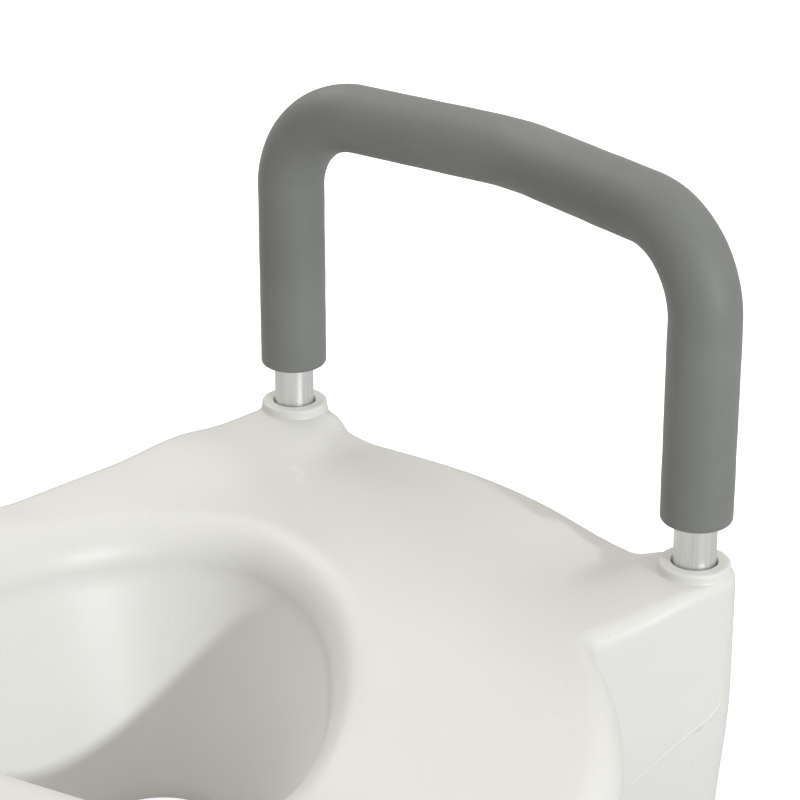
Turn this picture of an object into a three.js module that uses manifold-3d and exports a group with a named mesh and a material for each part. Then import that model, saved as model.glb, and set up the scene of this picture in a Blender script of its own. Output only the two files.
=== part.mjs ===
// Raised toilet seat with two removable padded arms and a front clamp.
// Millimetres, +Z up. The front of the seat faces -Y. Left and right are the sitting person's,
// so the left arm stands on the +X side. The seat rests on the lower edge of its skirt at z = 0.
import * as THREE from 'three';
import { mergeVertices } from 'three/addons/utils/BufferGeometryUtils.js';
import Module from 'manifold-3d';

const wasm = await Module();
wasm.setup();

// ---------------------------------------------------------------- driving dimensions

const GAP = 0.3; // clearance kept between pieces that touch on the real object

// arms: a bent aluminium tube in a foam grip
const TUBE_RADIUS = 11.1;
const TUBE_WALL = 1.3;
const LEG_X = 250; // socket axes, measured from the middle of the seat
const LEG_Y = 148;
const BAR_Z = 330; // height of the bar's axis
const BAR_BULGE = 24.5; // how far the middle of the bar bows outward
const BEND_RADIUS = 47;
const BOW_RADIUS = 110; // radius of the soft bend in the middle of the bar
const GRIP_RADIUS = 18.6;
const GRIP_END_Z = 176;

// sockets moulded into the seat
const BOSS_TOP = 153;
const SOCKET_BORE = 11.8;
const SOCKET_RADIUS = 15.2;
const SOCKET_FLOOR = 40;
const COLLAR_RADIUS = 18.8;
const COLLAR_HEIGHT = 5;
const CORNER_RADIUS = 21.4; // outside corner of the seat about each socket axis

// seat body, a hollow moulding
const WALL = 3.6;
const DECK = 144; // general height of the sitting surface
const REST_PLANE = 24; // underside that faces the bowl's rim
const SKIRT_TUCK = 5; // how far the skirt draws in towards its lower edge
const SPLASH_END = 2; // lower end of the wall round the opening
const SIDE_DROP = 7; // how much lower the deck is at its side edges, beside the sockets
const REAR_RISE = 4;
const SIDE_WAIST = 6; // how far the side wall is drawn in beside the sockets
const SIDE_BULGE = 3;

// front of the seat: an elliptical nose between the slanted faces of the two front columns
const NOSE_Y = -256;
const NOSE_CENTRE_Y = -100;
const NOSE_HALF_WIDTH = 175;
const COLUMN_SLANT = 0.29; // how far the column's face runs back per millimetre inward
const COLUMN_EASE = 12; // length over which that slant sets in
const VALLEY_BLEND = 8; // softness of the valley between nose and column
const NOSE_ROLL = 20;
const EDGE_ROLL = 13;
const COLUMN_ROLL = 7;

// opening, an egg with its widest line at EGG_Y
const EGG_Y = 42;
const EGG_HALF_WIDTH = 120;
const EGG_REAR = 76;
const EGG_FRONT = 132;
const EGG_POWER = 2;
const RIM_ROLL = 24;
const FUNNEL = 44; // how far the wall closes in from the rim to its lower end

// hygiene scoop in the front of the deck
const SCOOP_DEPTH = 46;
const SCOOP_WIDTH = 108;
const SCOOP_START_Y = 20;
const SCOOP_FULL_Y = -110;

// tank platform cut-out in the rear skirt
const NOTCH_HALF_WIDTH = 125;

// vent and drain holes beside the sockets, in the rest plane
const VENT_RADIUS = 4;
const VENT_X = 200;
const VENT_Y = 126;

// front clamp
const CLAMP_Z = 46;
const CHANNEL_HALF_WIDTH = 22;
const CHANNEL_FRONT = NOSE_Y + 12;
const CHANNEL_REAR = NOSE_Y + 102;
const CHANNEL_TOP = 62;
const SPINDLE_RADIUS = 6;
const SPINDLE_REAR = NOSE_Y + 99;
const BUSH_RADIUS = 9;
const BUSH_BOSS_RADIUS = 16; // flat boss on the front wall that the bush sits in
const JAW_REAR = NOSE_Y + 98;
const JAW_LENGTH = 18;
const JAW_BOTTOM = 3;
const JAW_PLATE_HALF_WIDTH = 34;
const JAW_PLATE_TOP = 20.5;
const JAW_PLATE_THICKNESS = 10;
const JAW_PAD_THICKNESS = 3;
const CLAMP_KNOB_RADIUS = 27.5;
const CLAMP_KNOB_DEPTH = 27;
const KNOB_CAP_THICKNESS = 1.8;
const SKIRT_PAD_THICKNESS = 3;

// hand screws under the sockets
const SCREW_RADIUS = 3.9;
const SCREW_TOP = 66;
const SCREW_KNOB_RADIUS = 10.8;
const SCREW_KNOB_BOTTOM = 4;
const SCREW_KNOB_TOP = 20.5;

// non-slip pads under the rest plane
const RIM_PAD_RADIUS = 14;
const RIM_PAD_THICKNESS = 2.6;
const RIM_PAD_PLACES = { front: [140, -72], rear: [158, 70] };

const SIDES = { left: 1, right: -1 };
const ENDS = { front: -1, rear: 1 };

// ---------------------------------------------------------------- materials

function finish(color, roughness, metalness) {
  return new THREE.MeshStandardMaterial({ color, roughness, metalness });
}

const white = finish(0xe9e9e6, 0.42, 0);
const foam = finish(0x7c7f7e, 0.9, 0);
const satin = finish(0xcfd1d0, 0.34, 0.9);
const steel = finish(0xb9bbbd, 0.3, 1);
const greyPlastic = finish(0x8f9291, 0.5, 0);
const rubber = finish(0x3c3d3e, 0.85, 0);

// ---------------------------------------------------------------- solids

function toSolid(geometry) {
  const bare = geometry.clone();
  bare.deleteAttribute('normal');
  bare.deleteAttribute('uv');
  const merged = mergeVertices(bare, 1e-4);
  return new wasm.Manifold(new wasm.Mesh({
    numProp: 3,
    vertProperties: Float32Array.from(merged.attributes.position.array),
    triVerts: Uint32Array.from(merged.index.array),
  }));
}

function toGeometry(solid) {
  const mesh = solid.getMesh();
  const geometry = new THREE.BufferGeometry();
  geometry.setAttribute('position', new THREE.BufferAttribute(mesh.vertProperties, 3));
  geometry.setIndex(new THREE.BufferAttribute(mesh.triVerts, 1));
  return geometry;
}

// a turned piece about the vertical through (x, y), from pairs of radius and height
function turned(profile, x = 0, y = 0, segments = 20) {
  const points = profile.map(([radius, height]) => new THREE.Vector2(radius, height));
  const geometry = new THREE.LatheGeometry(points, segments);
  geometry.rotateX(Math.PI / 2);
  geometry.translate(x, y, 0);
  return geometry;
}

// a ring of rectangular section about the vertical
function ring(inner, outer, bottom, top, x = 0, y = 0, segments = 20) {
  const profile = [[inner, bottom], [outer, bottom], [outer, top], [inner, top], [inner, bottom]];
  return turned(profile, x, y, segments);
}

// a plain disc or rod about the vertical
function rod(radius, bottom, top, x = 0, y = 0, segments = 20) {
  return turned([[0, bottom], [radius, bottom], [radius, top], [0, top]], x, y, segments);
}

// lays a piece made about the vertical down along the clamp's axis, its height becoming +Y
function alongClamp(geometry) {
  geometry.rotateX(-Math.PI / 2);
  geometry.translate(0, 0, CLAMP_Z);
  return geometry;
}

function block(x0, x1, y0, y1, z0, z1) {
  const geometry = new THREE.BoxGeometry(x1 - x0, y1 - y0, z1 - z0);
  geometry.translate((x0 + x1) / 2, (y0 + y1) / 2, (z0 + z1) / 2);
  return geometry;
}

// a hand knob with soft lobes round its edge, about the vertical
function lobedKnob(radius, lobes, lobeHeight, bottom, top, bevel) {
  const steps = lobes * 5;
  const outline = new THREE.Shape();
  for (let i = 0; i < steps; i += 1) {
    const angle = (2 * Math.PI * i) / steps;
    const reach = radius - bevel + lobeHeight * Math.cos(lobes * angle);
    if (i === 0) outline.moveTo(reach * Math.cos(angle), reach * Math.sin(angle));
    else outline.lineTo(reach * Math.cos(angle), reach * Math.sin(angle));
  }
  const geometry = new THREE.ExtrudeGeometry(outline, {
    depth: top - bottom - 2 * bevel,
    bevelEnabled: true,
    bevelSegments: 1,
    bevelSize: bevel,
    bevelThickness: bevel,
    steps: 1,
  });
  geometry.translate(0, 0, bottom + bevel);
  return geometry;
}

function smooth(from, to, value) {
  const t = Math.min(1, Math.max(0, (value - from) / (to - from)));
  return t * t * (3 - 2 * t);
}

// ---------------------------------------------------------------- seat body

// height of the sitting surface before its edges are rolled over
function deckHeight(x, y) {
  const towardsSide = smooth(150, LEG_X - 10, Math.abs(x));
  const middle = Math.cos((Math.PI * y) / (2 * LEG_Y)) ** 2;
  const sideDrop = SIDE_DROP * towardsSide * (1 - middle);
  const rearRise = REAR_RISE * smooth(90, 150, y);
  const depth = SCOOP_DEPTH * smooth(SCOOP_START_Y, SCOOP_FULL_Y, y);
  return DECK - sideDrop + rearRise - depth * Math.exp(-((x / SCOOP_WIDTH) ** 2));
}

// front wall in plan: whichever of the nose and the column's face stands further forward, with
// a soft valley where they meet
function frontWall(x) {
  const across = Math.min(1, Math.abs(x) / NOSE_HALF_WIDTH);
  const nose = NOSE_CENTRE_Y + (NOSE_Y - NOSE_CENTRE_Y) * Math.sqrt(1 - across ** 2);
  const inward = LEG_X - Math.abs(x);
  const eased = inward - COLUMN_EASE * (1 - Math.exp(-inward / COLUMN_EASE));
  const column = -LEG_Y - CORNER_RADIUS + COLUMN_SLANT * eased;
  const front = Math.min(nose, column);
  const spread = Math.exp((front - nose) / VALLEY_BLEND) + Math.exp((front - column) / VALLEY_BLEND);
  return front - VALLEY_BLEND * Math.log(spread);
}

// side wall in plan: drawn in beside the sockets and slightly out again between them
function sideWall(y) {
  const t = (y + LEG_Y) / (2 * LEG_Y);
  const waist = SIDE_WAIST * smooth(0, 0.12, t) * smooth(0, 0.12, 1 - t);
  return LEG_X + CORNER_RADIUS - waist + SIDE_BULGE * Math.sin(Math.PI * t);
}

function cornerArc(end, from, to, steps) {
  const points = [];
  for (let i = 0; i <= steps; i += 1) {
    const angle = from + ((to - from) * i) / steps;
    const x = LEG_X + CORNER_RADIUS * Math.cos(angle);
    points.push([x, end * LEG_Y + CORNER_RADIUS * Math.sin(angle), COLUMN_ROLL]);
  }
  return points;
}

// the left half of the outline, from the middle of the rear edge to the middle of the front
function halfOutline() {
  const points = [0, 26, 54, 84, 118, 158, 200].map((x) => [x, LEG_Y + CORNER_RADIUS, EDGE_ROLL]);
  points.push(...cornerArc(1, Math.PI / 2, 0, 5));
  const sideSteps = 9;
  for (let i = 1; i < sideSteps; i += 1) {
    const y = LEG_Y - (2 * LEG_Y * i) / sideSteps;
    points.push([sideWall(y), y, EDGE_ROLL]);
  }
  points.push(...cornerArc(-1, 0, -Math.PI / 2, 5));
  for (const x of [232, 212, 194, 181, 173, 167, 160, 149, 133, 113, 91, 68, 45, 22, 0]) {
    const roll = COLUMN_ROLL + (NOSE_ROLL - COLUMN_ROLL) * smooth(NOSE_HALF_WIDTH, 130, x);
    points.push([x, frontWall(x), roll]);
  }
  return points;
}

// stations round the seat: a point of the outline, its outward normal, the radius of the
// rolled edge there, and the ray from the middle of the opening through that point
function outlineStations() {
  const half = halfOutline();
  const mirrored = half.slice(1, -1).reverse().map(([x, y, roll]) => [-x, y, roll]);
  const points = [...half, ...mirrored];
  return points.map(([x, y, roll], i) => {
    const before = points[(i + points.length - 1) % points.length];
    const after = points[(i + 1) % points.length];
    const along = new THREE.Vector2(after[0] - before[0], after[1] - before[1]).normalize();
    const ray = new THREE.Vector2(x, y - EGG_Y).normalize();
    return { point: new THREE.Vector2(x, y), normal: new THREE.Vector2(-along.y, along.x), roll, ray };
  });
}

// point on the wall of the opening along a station's ray, moved outward by outset
function eggPoint(ray, outset) {
  const reach = ray.y > 0 ? EGG_REAR : EGG_FRONT;
  const sum = Math.abs(ray.x / EGG_HALF_WIDTH) ** EGG_POWER + Math.abs(ray.y / reach) ** EGG_POWER;
  const radius = sum ** (-1 / EGG_POWER) + outset;
  return new THREE.Vector2(ray.x * radius, EGG_Y + ray.y * radius);
}

// point on the outside wall at height z, moved inward by inset
function wallPoint(station, inset, z) {
  const { point, normal } = station;
  const tuck = SKIRT_TUCK * smooth(80, 0, z);
  return [point.x - normal.x * (inset + tuck), point.y - normal.y * (inset + tuck), z];
}

// where the deck's surface ends at the opening and at the outside edge
function deckStart(station) {
  return eggPoint(station.ray, RIM_ROLL);
}

function deckEnd(station) {
  return station.point.clone().addScaledVector(station.normal, -station.roll);
}

// height at which the opening's rolled rim has become a wall
function rimFoot(station) {
  const start = deckStart(station);
  return deckHeight(start.x, start.y) - RIM_ROLL;
}

// point on the funnel-shaped wall of the opening at height z, moved into the wall by inset
function funnelPoint(station, inset, z) {
  const share = (z - SPLASH_END) / (rimFoot(station) - SPLASH_END);
  const p = eggPoint(station.ray, inset - FUNNEL * (1 - share));
  return [p.x, p.y, z];
}

// rings of the shell from the lower end of the opening's wall, over the deck, and down the
// outside; inset moves the whole surface into the material
function shellRings(stations, inset, splashEnd, skirtEnd, detail) {
  const rings = [];
  for (const share of [0, 0.5]) {
    rings.push(stations.map((s) => {
      const z = splashEnd + (rimFoot(s) - splashEnd) * share;
      return funnelPoint(s, inset, z);
    }));
  }
  for (const turn of detail.rimTurns) {
    const angle = THREE.MathUtils.degToRad(turn);
    rings.push(stations.map((s) => {
      const start = deckStart(s);
      const radius = RIM_ROLL - inset;
      const p = eggPoint(s.ray, RIM_ROLL - radius * Math.sin(angle));
      const top = deckHeight(start.x, start.y) - inset;
      return [p.x, p.y, top - radius * (1 - Math.cos(angle))];
    }));
  }
  for (let i = 0; i <= detail.deckSteps; i += 1) {
    rings.push(stations.map((s) => {
      const p = deckStart(s).lerp(deckEnd(s), i / detail.deckSteps);
      return [p.x, p.y, deckHeight(p.x, p.y) - inset];
    }));
  }
  for (const turn of detail.edgeTurns) {
    const angle = THREE.MathUtils.degToRad(turn);
    rings.push(stations.map((s) => {
      const end = deckEnd(s);
      const radius = s.roll - inset;
      const z = deckHeight(end.x, end.y) - inset - radius * (1 - Math.cos(angle));
      return wallPoint(s, s.roll - radius * Math.sin(angle), z);
    }));
  }
  for (const share of [0.5, 1]) {
    rings.push(stations.map((s) => {
      const end = deckEnd(s);
      const top = deckHeight(end.x, end.y) - s.roll;
      return wallPoint(s, inset, top + (skirtEnd - top) * share);
    }));
  }
  return rings;
}

// joins rings into one closed surface, the last ring to the first
function loft(rings) {
  const count = rings[0].length;
  const index = [];
  for (let r = 0; r < rings.length; r += 1) {
    const here = r * count;
    const next = ((r + 1) % rings.length) * count;
    for (let i = 0; i < count; i += 1) {
      const j = (i + 1) % count;
      index.push(here + i, here + j, next + i, here + j, next + j, next + i);
    }
  }
  const geometry = new THREE.BufferGeometry();
  geometry.setAttribute('position', new THREE.Float32BufferAttribute(rings.flat(2), 3));
  geometry.setIndex(index);
  return geometry;
}

function outerForm(stations) {
  const detail = { rimTurns: [90, 60, 30], deckSteps: 5, edgeTurns: [30, 60, 90] };
  const rings = shellRings(stations, 0, SPLASH_END, 0, detail);
  rings.push(stations.map((s) => wallPoint(s, WALL, 0)));
  rings.push(stations.map((s) => wallPoint(s, WALL, REST_PLANE)));
  rings.push(stations.map((s) => funnelPoint(s, WALL, REST_PLANE)));
  rings.push(stations.map((s) => funnelPoint(s, WALL, SPLASH_END)));
  return loft(rings);
}

function cavityForm(stations) {
  const detail = { rimTurns: [90, 60, 30], deckSteps: 3, edgeTurns: [45, 90] };
  return loft(shellRings(stations, WALL, REST_PLANE + WALL, REST_PLANE + WALL, detail));
}

function socketForm(x, y) {
  const collarBase = BOSS_TOP - COLLAR_HEIGHT;
  return turned([
    [0, REST_PLANE],
    [SOCKET_RADIUS, REST_PLANE],
    [SOCKET_RADIUS, DECK - 14],
    [CORNER_RADIUS - 0.9, DECK - 8],
    [CORNER_RADIUS - 0.9, collarBase - 5],
    [CORNER_RADIUS - 1.9, collarBase - 1],
    [COLLAR_RADIUS, collarBase],
    [COLLAR_RADIUS, BOSS_TOP - 1.2],
    [COLLAR_RADIUS - 1.2, BOSS_TOP],
    [0, BOSS_TOP],
  ], x, y, 16);
}

function eachSocket(make) {
  const made = [];
  for (const side of Object.values(SIDES)) {
    for (const end of Object.values(ENDS)) made.push(make(side * LEG_X, end * LEG_Y));
  }
  return made;
}

function seatBody() {
  const stations = outlineStations();
  const channelWalls = block(
    -CHANNEL_HALF_WIDTH - WALL, CHANNEL_HALF_WIDTH + WALL,
    NOSE_Y, CHANNEL_REAR + WALL, REST_PLANE, CHANNEL_TOP + WALL,
  );
  const channel = block(
    -CHANNEL_HALF_WIDTH, CHANNEL_HALF_WIDTH, CHANNEL_FRONT, CHANNEL_REAR, REST_PLANE - 1, CHANNEL_TOP,
  );
  const bushBoss = alongClamp(rod(BUSH_BOSS_RADIUS, NOSE_Y, CHANNEL_FRONT + 2));
  let cavity = toSolid(cavityForm(stations)).subtract(toSolid(channelWalls));
  for (const socket of eachSocket((x, y) => rod(SOCKET_RADIUS, 0, BOSS_TOP, x, y, 16))) {
    cavity = cavity.subtract(toSolid(socket));
  }
  let body = toSolid(outerForm(stations)).subtract(cavity);
  for (const part of [bushBoss, ...eachSocket(socketForm)]) body = body.add(toSolid(part));
  const cuts = [
    channel,
    alongClamp(rod(BUSH_RADIUS + GAP, NOSE_Y - 5, CHANNEL_FRONT + 5)),
    block(-NOTCH_HALF_WIDTH, NOTCH_HALF_WIDTH, LEG_Y, LEG_Y + 30, -5, REST_PLANE),
    ...eachSocket((x, y) => rod(SOCKET_BORE, SOCKET_FLOOR, BOSS_TOP + 5, x, y, 16)),
    ...eachSocket((x, y) => rod(SCREW_RADIUS + 0.5, 0, SOCKET_FLOOR + 5, x, y, 12)),
    ...eachSocket((x, y) => rod(
      VENT_RADIUS, REST_PLANE - 5, REST_PLANE + 8, Math.sign(x) * VENT_X, Math.sign(y) * VENT_Y, 10,
    )),
  ];
  for (const cut of cuts) body = body.subtract(toSolid(cut));
  return toGeometry(body);
}

// ---------------------------------------------------------------- arms

// centre line of an arm: straight stretches joined by arcs, sampled where it bends
class ArmLine extends THREE.Curve {
  constructor(side, footZ) {
    super();
    const half = Math.atan2(BAR_BULGE, LEG_Y);
    const foot = new THREE.Vector3(side * LEG_X, LEG_Y, footZ);
    const corner = new THREE.Vector3(side * LEG_X, LEG_Y, BAR_Z);
    const middle = new THREE.Vector3(side * (LEG_X + BAR_BULGE), 0, BAR_Z);
    const frontCorner = corner.clone().setY(-LEG_Y);
    this.points = [];
    this.tangents = [];
    this.addEnd(foot, corner);
    this.addBend(foot, corner, middle, BEND_RADIUS, Math.PI / 2, 5);
    this.addBend(corner, middle, frontCorner, BOW_RADIUS, 2 * half, 3);
    const frontFoot = foot.clone().setY(-LEG_Y);
    this.addBend(middle, frontCorner, frontFoot, BEND_RADIUS, Math.PI / 2, 5);
    this.addEnd(frontFoot, frontCorner, -1);
  }

  addEnd(foot, corner, sign = 1) {
    this.points.push(foot.clone());
    this.tangents.push(corner.clone().sub(foot).normalize().multiplyScalar(sign));
  }

  // an arc that rounds the corner between two straight stretches
  addBend(from, corner, to, radius, angle, steps) {
    const inward = corner.clone().sub(from).normalize();
    const outward = to.clone().sub(corner).normalize();
    const start = corner.clone().addScaledVector(inward, -radius * Math.tan(angle / 2));
    const across = outward.clone().addScaledVector(inward, -outward.dot(inward)).normalize();
    const centre = start.clone().addScaledVector(across, radius);
    for (let i = 0; i <= steps; i += 1) {
      const turn = (angle * i) / steps;
      const point = centre.clone().addScaledVector(across, -radius * Math.cos(turn));
      this.points.push(point.addScaledVector(inward, radius * Math.sin(turn)));
      const tangent = inward.clone().multiplyScalar(Math.cos(turn));
      this.tangents.push(tangent.addScaledVector(across, Math.sin(turn)));
    }
  }

  get steps() {
    return this.points.length - 1;
  }

  getPoint(t) {
    return this.points[Math.round(t * this.steps)].clone();
  }

  getTangent(t) {
    return this.tangents[Math.round(t * this.steps)].clone();
  }

  getUtoTmapping(u) {
    return u;
  }
}

function sleeve(side, footZ, inner, outer) {
  const path = new ArmLine(side, footZ);
  const section = new THREE.Shape().absarc(0, 0, outer, 0, 2 * Math.PI);
  section.holes.push(new THREE.Path().absarc(0, 0, inner, 0, 2 * Math.PI));
  return new THREE.ExtrudeGeometry(section, {
    steps: path.steps,
    extrudePath: path,
    curveSegments: 6,
  });
}

function armTube(side) {
  return sleeve(side, SOCKET_FLOOR + GAP + 2.5, TUBE_RADIUS - TUBE_WALL, TUBE_RADIUS);
}

function armGrip(side) {
  return sleeve(side, GRIP_END_Z, TUBE_RADIUS + 0.4, GRIP_RADIUS);
}

// threaded plug pushed into the end of a leg, with a flange under the tube's end
function legInsert(x, y) {
  const bore = SCREW_RADIUS + GAP;
  const bottom = SOCKET_FLOOR + GAP;
  const plug = TUBE_RADIUS - TUBE_WALL - 0.4;
  return turned([
    [bore, bottom],
    [TUBE_RADIUS - 0.2, bottom],
    [TUBE_RADIUS - 0.2, bottom + 2.2],
    [plug, bottom + 2.2],
    [plug, bottom + 30],
    [bore, bottom + 30],
    [bore, bottom],
  ], x, y, 14);
}

// ---------------------------------------------------------------- hand screws

function screwShank(x, y) {
  return turned([
    [0, SCREW_KNOB_BOTTOM + 2.5],
    [SCREW_RADIUS, SCREW_KNOB_BOTTOM + 2.5],
    [SCREW_RADIUS, SCREW_TOP - 1.5],
    [SCREW_RADIUS - 1.5, SCREW_TOP],
    [0, SCREW_TOP],
  ], x, y, 12);
}

function screwKnob(x, y) {
  const knob = lobedKnob(SCREW_KNOB_RADIUS, 5, 1, SCREW_KNOB_BOTTOM, SCREW_KNOB_TOP, 1.5);
  knob.translate(x, y, 0);
  const hole = rod(SCREW_RADIUS + GAP, SCREW_KNOB_BOTTOM + 2, SCREW_KNOB_TOP + 5, x, y, 12);
  return toGeometry(toSolid(knob).subtract(toSolid(hole)));
}

function screwWasher(x, y) {
  return ring(SCREW_RADIUS + GAP, 9, SCREW_KNOB_TOP + GAP, REST_PLANE - GAP, x, y, 14);
}

// ---------------------------------------------------------------- front clamp

const KNOB_BACK = NOSE_Y - 4.6;
const KNOB_FRONT = KNOB_BACK - CLAMP_KNOB_DEPTH;

function clampKnob() {
  const knob = lobedKnob(CLAMP_KNOB_RADIUS, 8, 1.6, KNOB_FRONT, KNOB_BACK, 2.5);
  const bore = rod(SPINDLE_RADIUS + GAP, KNOB_FRONT + 8, KNOB_BACK + 5, 0, 0, 16);
  const capSeat = rod(13, KNOB_FRONT - 5, KNOB_FRONT + 3, 0, 0, 24);
  return alongClamp(toGeometry(toSolid(knob).subtract(toSolid(bore)).subtract(toSolid(capSeat))));
}

function knobCap() {
  const front = KNOB_FRONT - KNOB_CAP_THICKNESS;
  return alongClamp(turned([
    [0, front],
    [11, front],
    [12.6, front + 1],
    [12.6, KNOB_FRONT + 3 - GAP],
    [0, KNOB_FRONT + 3 - GAP],
  ]));
}

function clampSpindle() {
  return alongClamp(turned([
    [0, KNOB_FRONT + 8 + GAP],
    [SPINDLE_RADIUS, KNOB_FRONT + 8 + GAP],
    [SPINDLE_RADIUS, SPINDLE_REAR - 2],
    [SPINDLE_RADIUS - 2, SPINDLE_REAR],
    [0, SPINDLE_REAR],
  ], 0, 0, 20));
}

// flanged bush that carries the spindle in the front wall
function spindleBush() {
  const bore = SPINDLE_RADIUS + GAP;
  return alongClamp(turned([
    [bore, NOSE_Y - 2.2],
    [13, NOSE_Y - 2.2],
    [13, NOSE_Y - GAP],
    [BUSH_RADIUS, NOSE_Y - GAP],
    [BUSH_RADIUS, CHANNEL_FRONT],
    [bore, CHANNEL_FRONT],
    [bore, NOSE_Y - 2.2],
  ]));
}

function thrustWasher() {
  return alongClamp(ring(SPINDLE_RADIUS + GAP, 12, KNOB_BACK + GAP, NOSE_Y - 2.5));
}

// clip behind the front wall that keeps the spindle from being pulled out
function spindleClip() {
  return alongClamp(ring(SPINDLE_RADIUS + GAP, 10, CHANNEL_FRONT + GAP, CHANNEL_FRONT + 1.8));
}

const JAW_FRONT = JAW_REAR - JAW_LENGTH;
const NUT_HALF = 9.5;
const NUT_LENGTH = 9;

// carriage that slides in the channel, with a wide plate that hangs inside the bowl
function clampJaw() {
  const carriage = block(
    0.5 - CHANNEL_HALF_WIDTH, CHANNEL_HALF_WIDTH - 0.5, JAW_FRONT, JAW_REAR, 18, CHANNEL_TOP - 1,
  );
  const plate = block(
    -JAW_PLATE_HALF_WIDTH, JAW_PLATE_HALF_WIDTH,
    JAW_FRONT + JAW_PAD_THICKNESS, JAW_FRONT + JAW_PAD_THICKNESS + JAW_PLATE_THICKNESS,
    JAW_BOTTOM, JAW_PLATE_TOP,
  );
  const hole = alongClamp(rod(SPINDLE_RADIUS + 0.6, JAW_FRONT - 5, JAW_REAR + 5, 0, 0, 20));
  const pocket = block(
    -NUT_HALF - GAP, NUT_HALF + GAP, JAW_REAR - NUT_LENGTH - GAP, JAW_REAR + 5,
    CLAMP_Z - NUT_HALF - GAP, CLAMP_Z + NUT_HALF + GAP,
  );
  const jaw = toSolid(carriage).add(toSolid(plate)).subtract(toSolid(hole));
  return toGeometry(jaw.subtract(toSolid(pocket)));
}

function clampNut() {
  const nut = block(
    -NUT_HALF, NUT_HALF, JAW_REAR - NUT_LENGTH, JAW_REAR, CLAMP_Z - NUT_HALF, CLAMP_Z + NUT_HALF,
  );
  const thread = alongClamp(rod(SPINDLE_RADIUS + GAP, JAW_FRONT, JAW_REAR + 5, 0, 0, 20));
  return toGeometry(toSolid(nut).subtract(toSolid(thread)));
}

function jawPad() {
  const halfWidth = JAW_PLATE_HALF_WIDTH - 3;
  return block(
    -halfWidth, halfWidth, JAW_FRONT - 1, JAW_FRONT + JAW_PAD_THICKNESS - GAP,
    JAW_BOTTOM + 1.5, JAW_PLATE_TOP - 3,
  );
}

// rubber strip that follows the inside of the curved front skirt
function skirtPad() {
  const inside = WALL + SKIRT_TUCK + 1;
  const outline = new THREE.Shape();
  const places = [-28, -21, -14, -7, 0, 7, 14, 21, 28];
  outline.moveTo(places[0], frontWall(places[0]) + inside);
  for (const x of places.slice(1)) outline.lineTo(x, frontWall(x) + inside);
  for (const x of places.toReversed()) outline.lineTo(x, frontWall(x) + inside + SKIRT_PAD_THICKNESS);
  outline.closePath();
  const geometry = new THREE.ExtrudeGeometry(outline, { depth: 16, bevelEnabled: false });
  geometry.translate(0, 0, 4);
  return geometry;
}

// ---------------------------------------------------------------- rim pads

function rimPad(x, y) {
  const top = REST_PLANE - GAP;
  return turned([
    [0, top - RIM_PAD_THICKNESS],
    [RIM_PAD_RADIUS - 1, top - RIM_PAD_THICKNESS],
    [RIM_PAD_RADIUS, top - RIM_PAD_THICKNESS + 1],
    [RIM_PAD_RADIUS, top],
    [0, top],
  ], x, y, 16);
}

// ---------------------------------------------------------------- assembly

const seat = new THREE.Group();

function addMesh(group, name, geometry, material) {
  const mesh = new THREE.Mesh(geometry, material);
  mesh.name = name;
  group.add(mesh);
}

addMesh(seat, 'seat_body', seatBody(), white);

for (const [sideName, side] of Object.entries(SIDES)) {
  const arm = new THREE.Group();
  addMesh(arm, `arm_${sideName}_tube`, armTube(side), satin);
  addMesh(arm, `arm_${sideName}_grip`, armGrip(side), foam);
  for (const [endName, end] of Object.entries(ENDS)) {
    const x = side * LEG_X;
    const y = end * LEG_Y;
    const screw = `hand_screw_${sideName}_${endName}`;
    addMesh(arm, `arm_${sideName}_${endName}_insert`, legInsert(x, y), greyPlastic);
    addMesh(seat, `${screw}_shank`, screwShank(x, y), steel);
    addMesh(seat, `${screw}_knob`, screwKnob(x, y), greyPlastic);
    addMesh(seat, `${screw}_washer`, screwWasher(x, y), steel);
    const [padX, padY] = RIM_PAD_PLACES[endName];
    addMesh(seat, `rim_pad_${sideName}_${endName}`, rimPad(side * padX, padY), rubber);
  }
  seat.add(arm);
}

const clamp = new THREE.Group();
addMesh(clamp, 'clamp_knob', clampKnob(), greyPlastic);
addMesh(clamp, 'clamp_knob_cap', knobCap(), white);
addMesh(clamp, 'clamp_spindle', clampSpindle(), steel);
addMesh(clamp, 'clamp_bush', spindleBush(), greyPlastic);
addMesh(clamp, 'clamp_thrust_washer', thrustWasher(), steel);
addMesh(clamp, 'clamp_clip', spindleClip(), steel);
addMesh(clamp, 'clamp_jaw', clampJaw(), white);
addMesh(clamp, 'clamp_nut', clampNut(), steel);
addMesh(clamp, 'clamp_jaw_pad', jawPad(), rubber);
addMesh(clamp, 'clamp_skirt_pad', skirtPad(), rubber);
seat.add(clamp);

// the origin is under the middle of the whole object, so the seat moves back from its knob
const frontEnd = KNOB_FRONT - KNOB_CAP_THICKNESS;
const rearEnd = LEG_Y + CORNER_RADIUS;
seat.position.y = -(frontEnd + rearEnd) / 2;

export default seat;
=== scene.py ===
"""Raised toilet seat with padded arms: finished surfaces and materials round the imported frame.

The frame is in metres, +Z up, front towards -Y, the sitting person's left towards +X.
Shapes are worked out in millimetres in seat coordinates, whose Y = 0 lies midway between the
arm sockets; to_frame() takes them into the frame.
"""

from math import atan2, cos, pi, radians, sin, tan

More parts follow.
